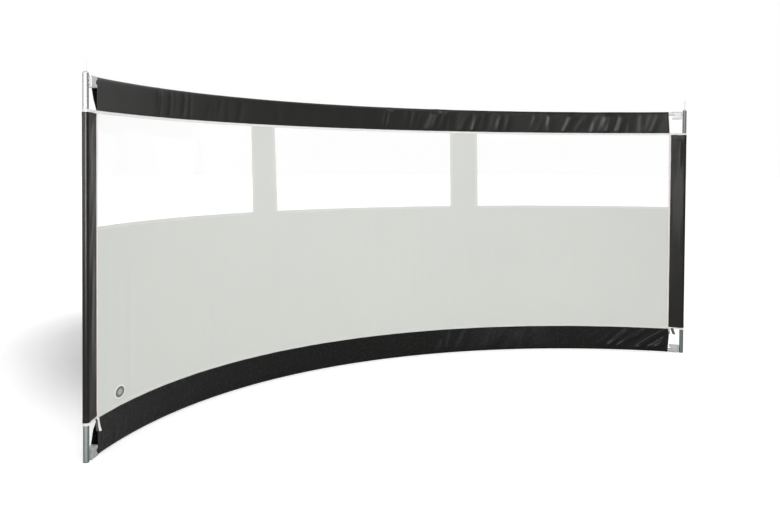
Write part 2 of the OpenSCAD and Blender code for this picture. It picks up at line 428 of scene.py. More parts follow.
wovenBlack = {
    "shader": {"Specular IOR Level": 0.26}, "pitch": 0.0011, "blotchScale": 2.2, "speckScale": 70.0,
    "dark": (0.0062, 0.0072, 0.0064), "light": (0.0115, 0.011, 0.0098), "thread": (0.017, 0.017, 0.0152),
    "threadTone": 0.4, "rough": 0.34, "roughSpread": 0.08, "relief": 0.00005,
}
wovenTape = {
    "shader": {"Specular IOR Level": 0.3}, "pitch": 0.0009, "blotchScale": 5.0, "speckScale": 70.0,
    "threadTone": 0.5, "rough": 0.6, "roughSpread": 0.2, "relief": 0.00012,
}
blackCloth = clothMaterial("blackPolyester", wovenBlack)
# A less glossy copy of the black cloth for the bottom sleeve: painted shade, so that it shows less of the
# bright floor and looks darker than the top sleeve
shadedLowCloth = clothMaterial("blackPolyesterLowShaded", {
    **wovenBlack, "shader": {"Specular IOR Level": 0.09}, "rough": 0.24, "roughSpread": 0.06,
    "dark": (0.0074, 0.0084, 0.0078), "light": (0.0114, 0.0112, 0.0107), "thread": (0.015, 0.015, 0.0145),
})
# A copy of the black cloth for the side sleeves, less glossy, whose blotch shades are tinted green and
# brown, the brown one lighter than the black: painted sheen
sheenSideCloth = clothMaterial("blackPolyesterSideSheen", {
    **wovenBlack, "shader": {"Specular IOR Level": 0.12}, "rough": 0.31, "roughSpread": 0.04,
    "dark": (0.0065, 0.0110, 0.0085), "light": (0.0200, 0.0125, 0.0105), "thread": (0.016, 0.0155, 0.014),
    "blotchScale": 5.0, "relief": 0.00001,
})
trimTape = clothMaterial("whiteBinding", {
    **wovenTape, "dark": (0.78, 0.76, 0.74), "light": (0.86, 0.84, 0.82), "thread": (0.9, 0.89, 0.87),
})
sideTape = clothMaterial("blushBinding", {
    **wovenTape, "dark": (0.74, 0.68, 0.66), "light": (0.80, 0.74, 0.72), "thread": (0.84, 0.8, 0.78),
})
greyTape = clothMaterial("greyBinding", {
    **wovenTape, "dark": (0.66, 0.675, 0.64), "light": (0.70, 0.71, 0.68), "thread": (0.75, 0.75, 0.72),
})
darkTape = clothMaterial("darkTieTape", {
    **wovenTape, "dark": (0.050, 0.042, 0.043), "light": (0.085, 0.070, 0.072),
    "thread": (0.12, 0.10, 0.10), "blotchScale": 9.0, "rough": 0.55,
})
greyCloth = clothMaterial("greyPolycotton", {
    **wovenTape, "shader": {"Specular IOR Level": 0.25, "Sheen Weight": 0.04, "Sheen Roughness": 0.5},
    "dark": (0.64, 0.665, 0.62), "light": (0.675, 0.685, 0.65), "thread": (0.71, 0.72, 0.69),
    "pitch": 0.0012, "blotchScale": 1.6, "threadTone": 0.3, "rough": 0.62,
    "hem": (0.76, 0.76, 0.73), "hemShare": 0.6,
})


# Clear film: glass-like with faint waves, and lamps shine through it
def filmMaterial(name, look):
    material, tree, shader, output = newMaterial(name, look["shader"])
    marks, colour = placeMarks(tree, look)
    rough = spreadRough(tree, look, marks.outputs["Speck"])
    dressShader(tree, shader, colour, rough, marks.outputs["Blotch"], look["wave"])
    path = addNode(tree, "ShaderNodeLightPath")
    clear = addNode(tree, "ShaderNodeBsdfTransparent")
    mixed = mixShaders(tree, path.outputs["Is Shadow Ray"], shader.outputs[0], clear.outputs[0])
    link(tree, mixed, output.inputs[0])
    return material


clearFilm = filmMaterial("clearFilm", {
    "shader": {"Transmission Weight": 1.0, "IOR": 1.12}, "blotchScale": 4.0, "speckScale": 25.0,
    "dark": (0.985, 0.99, 0.99), "light": (0.995, 0.995, 0.995),
    "rough": 0.02, "roughSpread": 0.04, "wave": 0.0002,
})


# Metal: drawn streaks over a base colour, with painted shade that darkens it near the ground in handling
# blotches
def metalMaterial(name, look):
    material, tree, shader, _ = newMaterial(name, look["shader"])
    group = placeGroup(tree, streakGroup, {"Scale": look["streakScale"], "Stretch": look["stretch"]})
    marks = placeGroup(tree, marksGroup, {"Scale": look["blotchScale"], "Fine": look["speckScale"]})
    streak = group.outputs["Streak"]
    bright = mixColour(tree, streak, look["dark"], look["light"])
    # Painted shade: towards the ground the colour goes over to a darker one, more where the blotches are
    height = addNode(tree, "ShaderNodeMapRange", {"From Min": look["paintedShadeFrom"], "From Max": look["paintedShadeTo"]})
    link(tree, splitPlace(tree, "Object")[2], height.inputs[0])
    low = mathNode(tree, "SUBTRACT", 1.0, height.outputs[0])
    shadeShare = mathNode(tree, "ADD", marks.outputs["Blotch"], look["leastShade"])
    colour = mixColour(tree, mathNode(tree, "MULTIPLY", low, shadeShare), bright, look["paintedShade"])
    rough = spreadRough(tree, look, streak)
    rough = mathNode(tree, "MULTIPLY_ADD", marks.outputs["Speck"], look["speckRough"], rough)
    dressShader(tree, shader, colour, rough, streak, look["relief"])
    return material


# Metal colours darken towards the ground as painted shade: fully below the lower height, not at all above
# the upper one
plainMetal = {
    "stretch": 1.0, "blotchScale": 9.0, "speckScale": 160.0, "leastShade": 0.45, "speckRough": 0.08,
    "paintedShadeFrom": 0.0, "paintedShadeTo": 0.1,
}
postMetal = metalMaterial("satinAluminium", {
    **plainMetal, "shader": {"Metallic": 0.9}, "streakScale": 420.0, "stretch": 0.02,
    "dark": (0.155, 0.16, 0.156), "light": (0.215, 0.22, 0.215), "paintedShade": (0.135, 0.160, 0.150),
    "paintedShadeFrom": 0.05, "paintedShadeTo": 0.5, "rough": 0.46, "roughSpread": 0.1, "relief": 0.00003,
})
bracketMetal = metalMaterial("zincPlate", {
    **plainMetal, "shader": {"Metallic": 0.75}, "streakScale": 90.0,
    "dark": (0.41, 0.415, 0.41), "light": (0.59, 0.595, 0.59), "paintedShade": (0.40, 0.42, 0.41),
    "paintedShadeTo": 0.12, "rough": 0.36, "roughSpread": 0.2, "relief": 0.00008,
})
railMetal = metalMaterial("bentAluminium", {
    **plainMetal, "shader": {"Metallic": 0.9}, "streakScale": 260.0,
    "dark": (0.56, 0.57, 0.57), "light": (0.76, 0.77, 0.77), "paintedShade": (0.5, 0.52, 0.51),
    "rough": 0.28, "roughSpread": 0.15, "relief": 0.00004,
})
pinMetal = metalMaterial("brightPin", {
    **plainMetal, "shader": {"Metallic": 0.6}, "streakScale": 500.0, "stretch": 0.05,
    "dark": (0.5, 0.5, 0.5), "light": (0.62, 0.62, 0.62), "paintedShade": (0.5, 0.5, 0.5),
    "rough": 0.3, "roughSpread": 0.1, "relief": 0.00002,
})


# Moulded plastic: fine grain and faint blotches
def plasticMaterial(name, look):
    material, tree, shader, _ = newMaterial(name, look["shader"])
    marks, colour = placeMarks(tree, look)
    rough = spreadRough(tree, look, marks.outputs["Speck"])
    dressShader(tree, shader, colour, rough, marks.outputs["Speck"], look["relief"])
    return material


moulded = {
    "shader": {"Specular IOR Level": 0.5}, "blotchScale": 30.0, "speckScale": 900.0,
    "roughSpread": 0.25, "relief": 0.0001,
}
plugPlastic = plasticMaterial("greyPlug", {
    **moulded, "dark": (0.5, 0.5, 0.5), "light": (0.6, 0.6, 0.6), "rough": 0.3,
})
footPlastic = plasticMaterial("darkFoot", {
    **moulded, "dark": (0.1, 0.105, 0.1), "light": (0.16, 0.165, 0.16), "rough": 0.4,
})


thread = {
    "shader": {"Specular IOR Level": 0.35}, "twist": {"Scale": 900.0, "Distortion": 1.0},
    "rough": 0.45, "roughSpread": 0.2, "relief": 0.0001,
}


# Thread: a twisted yarn, with its twist drawn along the stitch
def threadMaterial(name, dark, light):
    material, tree, shader, _ = newMaterial(name, thread["shader"])
    place = addNode(tree, "ShaderNodeTexCoord")
    wave = addNode(tree, "ShaderNodeTexWave", thread["twist"])
    link(tree, place.outputs["UV"], wave.inputs["Vector"])
    twist = wave.outputs[1]
    colour = mixColour(tree, twist, dark, light)
    dressShader(tree, shader, colour, spreadRough(tree, thread, twist), twist, thread["relief"])
    return material


blackThread = threadMaterial("blackThread", (0.02, 0.02, 0.02), (0.05, 0.05, 0.048))
whiteThread = threadMaterial("whiteThread", (0.74, 0.74, 0.72), (0.88, 0.88, 0.86))
greyThread = threadMaterial("greyThread", (0.56, 0.58, 0.54), (0.72, 0.73, 0.7))

# Finishes of the CAD nodes that stay
finishes = {
    "post": postMetal, "top_plug": plugPlastic, "foot": footPlastic, "pin": pinMetal,
    "top_lug": bracketMetal, "bottom_lug": bracketMetal,
}
for side in ("left", "right"):
    for part, finish in finishes.items():
        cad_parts[side + "_" + part].material_slots[0].material = finish
for part in ("top_rail", "bottom_rail"):
    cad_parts[part].material_slots[0].material = railMetal
print("materials built")


# Section of a cloth laid round a round bar, with its seam reach metres from the bar's axis.
# h runs from the axis towards the seam and q to the side: straight from the seam to the
# bar, round its far side, straight back.
def wrapSection(plan, barRadius, reach):
    radius = barRadius + plan["clearance"] + plan["thickness"] / 2
    halfGap = plan["seamHalfGap"]
    offAxis = math.atan2(halfGap, reach)
    touch = offAxis + math.acos(radius / math.hypot(reach, halfGap))
    turn = np.linspace(touch, 2 * math.pi - touch, plan["roundSteps"])
    h = radius * np.cos(turn)
    q = -radius * np.sin(turn)
    t = np.linspace(0, 1, plan["flatSteps"], endpoint=False)
    flatH = reach + (h[0] - reach) * t
    flatQ = -halfGap + (q[0] + halfGap) * t
    h = np.concatenate([flatH, h, flatH[::-1]])
    q = np.concatenate([flatQ, q, -flatQ[::-1]])
    across = np.concatenate([[0], np.cumsum(np.hypot(np.diff(h), np.diff(q)))])
    return h, q, across


# Pushes each point of a grid along its normal
def raiseGrid(points, lift):
    return points + gridNormals(points) * lift[..., None]


# The cloth of every sleeve
sleeveCloth = {
    "thickness": 0.0009, "seamHalfGap": 0.0012, "flatSteps": 14,
    "hem": 0.014, "hemStep": 0.002, "hemRise": 0.0005,
}


# The step of a turned hem at the open end of a sleeve
def hemLift(plan, toEnd):
    return plan["hemRise"] * (1 - smoothStep(toEnd, plan["hem"], plan["hem"] + plan["hemStep"]))


# Each mouth has its distance from the end of the bow at the rod and at the seam. Folds
# fade out towards the seam, the rod and the mouths, where the cloth is held.
longSleeve = {
    **sleeveCloth, "clearance": 0.0010, "rows": 1040, "roundSteps": 15, "leftMouth": (0.067, 0.086),
    "leastFold": 0.25, "heldAtSeam": 0.010, "heldAtMouth": 0.03, "offBar": (-0.004, 0.02),
    "gape": 0.045, "gapeFromSeam": 0.05,
}


# Long sleeve: the section carried along the bow. up is 1 where the seam is above the rod
# and -1 where it is below. Creases and swells push the cloth along its normals.
def makeLongSleeve(name, node, railZ, seamZ, folds, cloth):
    plan = longSleeve
    up = 1 if seamZ > railZ else -1
    reach = abs(seamZ - railZ)
    h, q, across = wrapSection(plan, railRadius, reach)
    t = np.linspace(0, 1, plan["rows"])[:, None]
    share = np.clip((h - h.min()) / (reach - h.min()), 0, 1)
    leftRod, leftSeam = plan["leftMouth"]
    rightRod, rightSeam = folds["rightMouth"]
    start = leftRod + (leftSeam - leftRod) * share
    end = bowLength - rightRod - (rightSeam - rightRod) * share
    s = start + t * (end - start)
    acrossGrid = np.broadcast_to(across, s.shape)
    toSeam = np.minimum(acrossGrid, across[-1] - acrossGrid)
    toMouth = np.minimum(s - start, end - s)
    offBar = smoothStep(h, *plan["offBar"])
    least = plan["leastFold"]
    lift = sum(creases(s, acrossGrid, fold, folds["seed"] + k) for k, fold in enumerate(folds["creases"]))
    slack = least + (1 - least) * smoothStep(s, *folds["slack"])
    lift = lift + slack * swells(s, acrossGrid, folds["swells"], folds["swellSeed"])
    lift = lift * smoothStep(toSeam, 0, plan["heldAtSeam"])
    lift = lift * (folds["onBar"] + (1 - folds["onBar"]) * offBar)
    lift = lift * (least + (1 - least) * smoothStep(toMouth, 0, plan["heldAtMouth"]))
    isOuter = up * q > 0
    gape = isOuter * offBar * smoothStep(toSeam, 0, plan["gapeFromSeam"])
    gape = gape * np.exp(-((s - start) / plan["gape"]) ** 2)
    lift = lift + folds["mouth"] * gape + hemLift(plan, toMouth)
    points = raiseGrid(bowPoint(s, up * q, railZ + up * h), lift)
    places = np.stack([s, acrossGrid], axis=-1)
    piece, sheet = makeCloth(name, points, places, plan["thickness"], cloth)
    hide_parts(node)
    sheet["flat"] = (float(np.mean(end - start)), float(across[-1]))
    return piece, sheet


# Each set of creases is one stretch of a sleeve, and its seed is the first set's plus its number
topFolds = {
    "creases": [
        {"count": 8, "along": (0.50, 0.80), "across": (0.16, 0.23), "slant": (-4, 3), "skew": 1.5,
         "width": (0.008, 0.012), "length": (0.06, 0.10), "height": (0.0022, 0.0040)},
        {"count": 10, "along": (0.85, 1.75), "across": (0.15, 0.23), "slant": (-20, 6), "skew": 2.0,
         "width": (0.010, 0.016), "length": (0.05, 0.09), "height": (0.0016, 0.0032)},
        {"count": 20, "along": (1.7, 2.55), "across": (0.15, 0.23), "slant": (-30, -4), "skew": 2.0,
         "width": (0.010, 0.016), "length": (0.07, 0.14), "height": (0.0018, 0.0032)},
        {"count": 46, "along": (2.5, 3.66), "across": (0.14, 0.25), "slant": (-34, -2), "skew": 1.6,
         "width": (0.010, 0.016), "length": (0.07, 0.14), "height": (0.0016, 0.0030)},
        {"count": 60, "along": (0.3, 3.6), "across": (0.02, 0.11), "slant": (-20, 8), "skew": 1.5,
         "width": (0.008, 0.014), "length": (0.04, 0.09), "height": (0.0010, 0.0030)},
    ],
    "swells": {"count": 4, "alongWave": (0.12, 0.35), "acrossWave": (0.4, 0.9), "height": 0.004},
    "slack": (1.6, 2.6), "onBar": 0.1, "mouth": 0.004, "rightMouth": (0.089, 0.080),
    "seed": 11, "swellSeed": 61,
}
bottomFolds = {
    "creases": [
        {"count": 14, "along": (3.46, 3.76), "across": (0.03, 0.12), "slant": (-66, -50), "skew": 1.4,
         "width": (0.005, 0.0075), "length": (0.07, 0.13), "height": (0.0042, 0.0060)},
        {"count": 7, "along": (3.20, 3.50), "across": (0.02, 0.08), "slant": (-64, -44), "skew": 1.4,
         "width": (0.007, 0.011), "length": (0.04, 0.07), "height": (0.0018, 0.0032)},
        {"count": 12, "along": (2.0, 3.0), "across": (0.02, 0.11), "slant": (-42, -14), "skew": 2.0,
         "width": (0.012, 0.020), "length": (0.04, 0.08), "height": (0.0018, 0.0036)},
        {"count": 10, "along": (0.2, 1.9), "across": (0.02, 0.11), "slant": (-24, 24),
         "width": (0.010, 0.018), "length": (0.04, 0.08), "height": (0.0006, 0.0016)},
        {"count": 50, "along": (0.2, 3.6), "across": (0.16, 0.25), "slant": (-20, 20),
         "width": (0.007, 0.014), "length": (0.04, 0.09), "height": (0.0008, 0.0024)},
    ],
    "swells": {"count": 4, "alongWave": (0.2, 0.6), "acrossWave": (0.5, 1.2), "height": 0.0016},
    "slack": (1.8, 3.2), "onBar": 0.0, "mouth": 0.008, "rightMouth": (0.075, 0.066),
    "seed": 31, "swellSeed": 81,
}
topSleeve, topSheet = makeLongSleeve("topSleeve", "top_sleeve", topRailZ, topSeamZ, topFolds, blackCloth)
bottomSleeve, bottomSheet = makeLongSleeve(
    "bottomSleeve", "bottom_sleeve", bottomRailZ, bottomSeamZ, bottomFolds, shadedLowCloth)
print("long sleeves made")


sideSleeve = {
    **sleeveCloth, "clearance": 0.0007, "rows": 300, "roundSteps": 17,
    "leftSeam": 0.080, "rightSeam": 0.0725, "leftSeed": 61, "rightSeed": 72,
    "heldAtSeam": 0.015, "heldAtEnd": 0.04, "offBar": (0.0, 0.02),
    "folds": {"count": 16, "along": (0.1, 1.25), "across": (0.01, 0.17), "slant": (70, 86), "skew": 1.6,
              "width": (0.012, 0.020), "length": (0.12, 0.25), "height": (0.0006, 0.0016)},
    "swells": {"count": 3, "alongWave": (0.25, 0.6), "acrossWave": (0.15, 0.4), "height": 0.0012},
}


# Side sleeve: the same section round a post, carried up it. Long twist folds run up it.
def makeSideSleeve(side):
    plan = sideSleeve
    seed = plan[side + "Seed"]
    h, q, across = wrapSection(plan, postRadius, plan[side + "Seam"])
    z = np.linspace(panelBottomZ, panelTopZ, plan["rows"])[:, None]
    hGrid, acrossGrid, z = np.broadcast_arrays(h, across, z)
    toSeam = np.minimum(acrossGrid, across[-1] - acrossGrid)
    toEnd = np.minimum(z - panelBottomZ, panelTopZ - z)
    lift = creases(z, acrossGrid, plan["folds"], seed) + swells(z, acrossGrid, plan["swells"], seed + 1)
    lift = lift * smoothStep(toSeam, 0, plan["heldAtSeam"]) * smoothStep(hGrid, *plan["offBar"])
    lift = lift * smoothStep(toEnd, 0, plan["heldAtEnd"]) + hemLift(plan, toEnd)
    points = raiseGrid(wrapPoint(side, hGrid, q, z), lift)
    places = np.stack([acrossGrid, z], axis=-1)
    piece, sheet = makeCloth(side + "Sleeve", points, places, plan["thickness"], sheenSideCloth)
    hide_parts(side + "_sleeve")
    sheet["flat"] = (panelTopZ - panelBottomZ, float(across[-1]))
    return piece, sheet


leftSleeve, leftSheet = makeSideSleeve("left")
rightSleeve, rightSheet = makeSideSleeve("right")
print("side sleeves made")


# atSill and atTop say how far each edge of the pillars leans, from left to right. Columns
# start to lean leanFrom metres under the sill.
panel = {
    "edge": 0.076, "thickness": 0.0011, "cell": 0.009, "cellUp": 0.018, "fewestCells": 8, "tuck": 0.005,
    "leftPillar": [alongFromX(x) for x in spanOf("left_pillar", 0)],
    "rightPillar": [alongFromX(x) for x in spanOf("right_pillar", 0)],
    "atSill": (0.009, 0.009, 0.003, 0.009), "atTop": (-0.004, -0.015, -0.003, -0.001), "leanFrom": 0.3,
    "hem": 0.013, "halfHemStep": 0.001, "sillStep": 0.004, "hemRise": 0.0009,
    "heldAtEdge": 0.03, "heldAtHem": 0.05, "farAway": 1.0,
    "folds": {"count": 80, "along": (0.1, 3.7), "across": (0.2, 0.85), "slant": (-3, 3),
              "width": (0.012, 0.035), "length": (0.12, 0.4), "height": (0.0003, 0.0012)},
    "puckers": {"count": 150, "along": (0.1, 3.7), "across": (0.14, 0.16), "slant": (-12, 12),
                "width": (0.006, 0.012), "length": (0.02, 0.05), "height": (0.0003, 0.0009)},
    "swells": {"count": 4, "alongWave": (0.3, 0.9), "acrossWave": (1.5, 4.0), "height": 0.002},
    "foldSeed": 5, "puckerSeed": 6, "swellSeed": 7,
}


# Columns that start new sections at the pillars' edges, and the numbers of those columns
def pillarColumns(plan):
    knots = [plan["edge"], *plan["leftPillar"], *plan["rightPillar"], bowLength - plan["edge"]]
    parts = []
    marks = [0]
    for low, high in zip(knots[:-1], knots[1:]):
        count = max(plan["fewestCells"], round((high - low) / plan["cell"]))
        parts.append(np.linspace(low, high, count, endpoint=False))
        marks.append(marks[-1] + count)
    return np.concatenate(parts + [[knots[-1]]]), marks, knots


# Rows of the panel, with extra ones at the hem under the sill, and the number of the sill's
def panelRows(plan):
    low, high = panelBottomZ - plan["tuck"], panelTopZ + plan["tuck"]
    hemRow = sillZ - plan["hem"]
    below = np.linspace(low, sillZ, round((sillZ - panelBottomZ) / plan["cellUp"]) + 1)
    above = np.linspace(sillZ, high, round((panelTopZ - sillZ) / plan["cellUp"]) + 1)
    extra = [hemRow - plan["halfHemStep"], hemRow + plan["halfHemStep"], sillZ - plan["sillStep"]]
    below = np.sort(np.concatenate([below, extra]))
    return np.concatenate([below, above[1:]]), len(below) - 1


# The panel's columns lean with the pillars above the sill: the lean at the sill fades out
# below it and goes over to the lean at the top above it
def leanColumns(plan, columns, knots, heights):
    atSill, atTop = (np.interp(columns, knots, [0, *plan[key], 0]) for key in ("atSill", "atTop"))
    rise = np.clip((heights - sillZ) / (panelTopZ - sillZ), 0, 1)[:, None]
    fade = smoothStep(heights, sillZ - plan["leanFrom"], sillZ)[:, None]
    return columns + fade * (atSill + rise * (atTop - atSill))


# How far each place of the panel is from the opening between two columns, above the sill
def windowDistance(s, z, first, last):
    aside = np.maximum(np.maximum(s[:, first, None] - s, s - s[:, last, None]), 0)
    return np.hypot(aside, np.maximum(sillZ - z, 0))


# 1 along the turned hems beside and under the openings, and 0 elsewhere
def hemMask(plan, s, z, marks, overPillar):
    toPillarEdge = np.min([np.abs(s - s[:, mark, None]) for mark in marks[1:5]], axis=0)
    toSill = np.where((z <= sillZ) & ~overPillar, sillZ - z, plan["farAway"])
    toOpening = np.minimum(np.where(z >= sillZ, toPillarEdge, plan["farAway"]), toSill)
    return 1 - smoothStep(toOpening, plan["hem"] - plan["halfHemStep"], plan["hem"] + plan["halfHemStep"])


# Panel and pillars: one cloth on the bow with three openings cut from it, and a turned hem
# that thickens the edge of each opening
def makePanel():
    plan = panel
    columns, marks, knots = pillarColumns(plan)
    heights, sillRow = panelRows(plan)
    s = leanColumns(plan, columns, knots, heights)
    z = np.broadcast_to(heights[:, None], s.shape)
    fold = creases(s, z, plan["folds"], plan["foldSeed"])
    fold = fold + creases(s, z, plan["puckers"], plan["puckerSeed"])
    fold = fold + swells(s, z, plan["swells"], plan["swellSeed"])
    toEdge = np.min([z - panelBottomZ, panelTopZ - z, s - knots[0], knots[-1] - s], axis=0)
    windows = (marks[0:2], marks[2:4], marks[4:6])
    toWindow = np.min([windowDistance(s, z, first, last) for first, last in windows], axis=0)
    fold = fold * smoothStep(toEdge, 0, plan["heldAtEdge"])
    fold = fold * smoothStep(toWindow, plan["hem"], plan["hem"] + plan["heldAtHem"])
    isPillar = np.zeros(len(columns) - 1, dtype=bool)
    overPillar = np.zeros(len(columns), dtype=bool)
    for first, last in (marks[1:3], marks[3:5]):
        isPillar[first:last] = True
        overPillar[first:last + 1] = True
    keep = np.ones((len(heights) - 1, len(columns) - 1), dtype=bool)
    keep[sillRow:] = isPillar
    hem = hemMask(plan, s, z, marks, overPillar)
    places = np.stack([s, z], axis=-1)
    thickness = plan["thickness"] + plan["hemRise"] * hem
    points = bowPoint(s, fold, z)
    piece, sheet = makeCloth("greyPanel", points, places, thickness, greyCloth, keep)
    addAttribute(piece, "hem", hem, sheet["quads"])
    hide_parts("lower_panel", "left_pillar", "right_pillar")
    sheet.update({"s": s, "columns": columns, "heights": heights, "marks": marks, "sillRow": sillRow})
    return piece, sheet


greyPanel, panelSheet = makePanel()
print("panel made")


film = {
    "thickness": 0.0005, "tuck": 0.009, "cell": 0.02, "flatEdge": (0.01, 0.1), "seed": 81,
    "swells": {"count": 4, "alongWave": (0.25, 0.8), "acrossWave": (0.3, 0.9), "height": 0.0006},
}


# Window film: a sheet on the bow between two leaning edges, tucked behind the pillars' hems
def makeFilm(place, opening):
    plan = film
    leftMark, rightMark = 2 * opening, 2 * opening + 1
    marks, sillRow = panelSheet["marks"], panelSheet["sillRow"]
    heights = panelSheet["heights"][sillRow:].copy()
    heights[0] -= plan["tuck"]
    low = panelSheet["s"][sillRow:, marks[leftMark], None]
    high = panelSheet["s"][sillRow:, marks[rightMark], None]
    count = round(float(high[0, 0] - low[0, 0]) / plan["cell"])
    low = low - (plan["tuck"] if leftMark > 0 else 0)
    high = high + (plan["tuck"] if rightMark < len(marks) - 1 else 0)
    s = low + np.linspace(0, 1, count + 1) * (high - low)
    z = np.broadcast_to(heights[:, None], s.shape)
    wave = swells(s, z, plan["swells"], plan["seed"] + opening)
    toEdge = np.min([z - sillZ, panelTopZ - z, s - low, high - s], axis=0)
    points = bowPoint(s, wave * smoothStep(toEdge, *plan["flatEdge"]), z)
    places = np.stack([s, z], axis=-1)
    piece, sheet = makeCloth(place + "Window", points, places, plan["thickness"], clearFilm)
    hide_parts(place + "_window")
    sheet["flat"] = (float(high[0, 0] - low[0, 0]), float(heights[-1] - heights[0]))
    return piece, sheet


films = [makeFilm(place, opening) for opening, place in enumerate(("left", "middle", "right"))]
print("windows made")


piping = {
    "thickness": 0.0048, "ringSteps": 16, "step": 0.012, "squareness": 0.5,
    "waver": 0.0004, "waverTurns": (41, 17), "lap": 0.001, "overrun": 0.002,
}


# Ring of a rounded strip: each half-width times the cosine or sine raised to a small power
def stripRing(halfWide, halfThick, steps, squareness):
    turn = 2 * math.pi * (np.arange(steps + 1) + 0.5) / steps
    wide = halfWide * np.sign(np.cos(turn)) * np.abs(np.cos(turn)) ** squareness
    thick = halfThick * np.sign(np.sin(turn)) * np.abs(np.sin(turn)) ** squareness
    return wide, thick, turn


# Binding along the bow between two heights, or up a side between two places. It runs from
# the first value of ends to the second, and its width from the first value of span.
def makePiping(side, ends, span, isUpright, tape):
    plan = piping
    (start, end), (low, high) = ends, span
    halfWide, halfThick = (high - low) / 2, plan["thickness"] / 2
    wide, thick, turn = stripRing(halfWide, halfThick, plan["ringSteps"], plan["squareness"])
    run = np.linspace(start, end, max(2, round((end - start) / plan["step"])))[:, None]
    quick, slow = plan["waverTurns"]
    level = (low + high) / 2 + wide + plan["waver"] * np.sin(run * quick) * np.sin(run * slow + 1)
    rings = bowPoint(level, thick, run) if isUpright else bowPoint(run, -thick, level)
    around = turn * (high - low) / math.pi
    places = np.stack(np.broadcast_arrays(run, around), axis=-1)
    piece = makeTube(side + "Piping", rings[:, :-1], places, tape)
    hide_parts(side + "_piping")
    return piece


leftStart = sideSleeve["leftSeam"] - piping["lap"]
rightStart = bowLength - sideSleeve["rightSeam"] + piping["lap"]
leftEnd = leftStart + pipingHeight
rightEnd = rightStart - pipingHeight
upSides = (panelBottomZ - piping["overrun"], panelTopZ + piping["overrun"])
pipings = [
    makePiping("top", (leftStart, rightStart), (panelTopZ, topSeamZ), False, trimTape),
    makePiping("bottom", (leftStart, rightStart), (bottomSeamZ, panelBottomZ), False, greyTape),
    makePiping("left", upSides, (leftStart, leftEnd), True, sideTape),
    makePiping("right", upSides, (rightEnd, rightStart), True, sideTape),
]
print("piping made")


cornerTape = {
    "thickness": 0.0012, "clearance": 0.0006, "seamHalfGap": 0.0008, "flatSteps": 12, "roundSteps": 19,
    "reach": 0.080, "rows": 7, "margin": 0.0008, "cup": 0.0006,
    "dip": 0.0012, "dipTurns": 60, "dipFrom": 0.02,
}


# Corner tape: the wrap section again, one tape width high, with its edges cupped a little
def makeCornerTape(side, level, low):
    plan = cornerTape
    h, q, across = wrapSection(plan, postRadius, plan["reach"])
    t = np.linspace(0, 1, plan["rows"])[:, None]
    z = low + plan["margin"] + (pipingHeight - 2 * plan["margin"]) * t
    hGrid, acrossGrid, z, tGrid = np.broadcast_arrays(h, across, z, t)
    dip = plan["dip"] * np.sin(acrossGrid * plan["dipTurns"]) * smoothStep(hGrid, 0, plan["dipFrom"])
    points = raiseGrid(wrapPoint(side, hGrid, q, z + dip), plan["cup"] * (2 * tGrid - 1) ** 2)
    places = np.stack([acrossGrid, z], axis=-1)
    name = side + level.capitalize() + "Tape"
    piece, _ = makeCloth(name, points, places, plan["thickness"], trimTape)
    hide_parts(f"{side}_{level}_tape")
    return piece


cornerTapes = [
    makeCornerTape(side, level, low)
    for level, low in (("top", panelTopZ), ("bottom", bottomSeamZ)) for side in ("left", "right")
]


# The ties hang beside the middle of the side pipings
tieAside = {"left": -0.0135, "right": 0.012}
leftTieS = (leftStart + leftEnd) / 2 + tieAside["left"]
rightTieS = (rightStart + rightEnd) / 2 + tieAside["right"]
tieZ = bottomSeamZ + pipingHeight / 2

tail = {"thickness": 0.0011, "steps": 18, "stepsAcross": 5, "driftPower": 1.2, "width": 0.010}


# Tie tail: a strip whose middle line hangs down, drifts sideways and curls away.
# Its width turns about that line from start to end.
def makeTail(name, tieS, tape, hang):
    plan = {**tail, **hang}
    t = np.linspace(0, 1, plan["steps"])[:, None]
    side = np.linspace(-0.5, 0.5, plan["stepsAcross"]) * plan["width"]
    middleS = tieS + plan["aside"] + plan["drift"] * t ** plan["driftPower"]
    middleQ = plan["q"] + plan["curl"] * t ** 2
    middleZ = tieZ - plan["drop"] * t
    twist = np.radians(plan["twist"] * t)
    points = bowPoint(middleS + side * np.cos(twist), middleQ + side * np.sin(twist), middleZ)[::-1]
    places = np.stack(np.broadcast_arrays(side, middleZ), axis=-1)
    return makeCloth(name, points, places, plan["thickness"], tape)[0]


knot = {
    "q": -0.0075, "halfSize": (0.008, 0.005, 0.0065), "pole": 0.12, "rows": 15, "steps": 24,
    "groove": 0.09, "grooves": 3, "windings": 5, "radius": 0.006,
}


# Knot: a squashed ball with a groove wound round it
def makeKnot(side, s):
    plan = knot
    halfS, halfQ, halfZ = plan["halfSize"]
    latitude = np.linspace(-math.pi / 2 + plan["pole"], math.pi / 2 - plan["pole"], plan["rows"])[:, None]
    turn = 2 * math.pi * np.arange(plan["steps"] + 1) / plan["steps"]
    groove = plan["groove"] * np.sin(plan["grooves"] * turn + plan["windings"] * latitude)
    flat = np.cos(latitude) * (1 + groove)
    aside, out = halfS * flat * np.cos(turn), halfQ * flat * np.sin(turn)
    rings = bowPoint(s + aside, plan["q"] + out, tieZ + halfZ * np.sin(latitude))
    places = plan["radius"] * np.stack(np.broadcast_arrays(turn, latitude), axis=-1)
    piece = makeTube(side + "Knot", rings[:, :-1], places, trimTape, roundCrease)
    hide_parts(side + "_tie")
    return piece


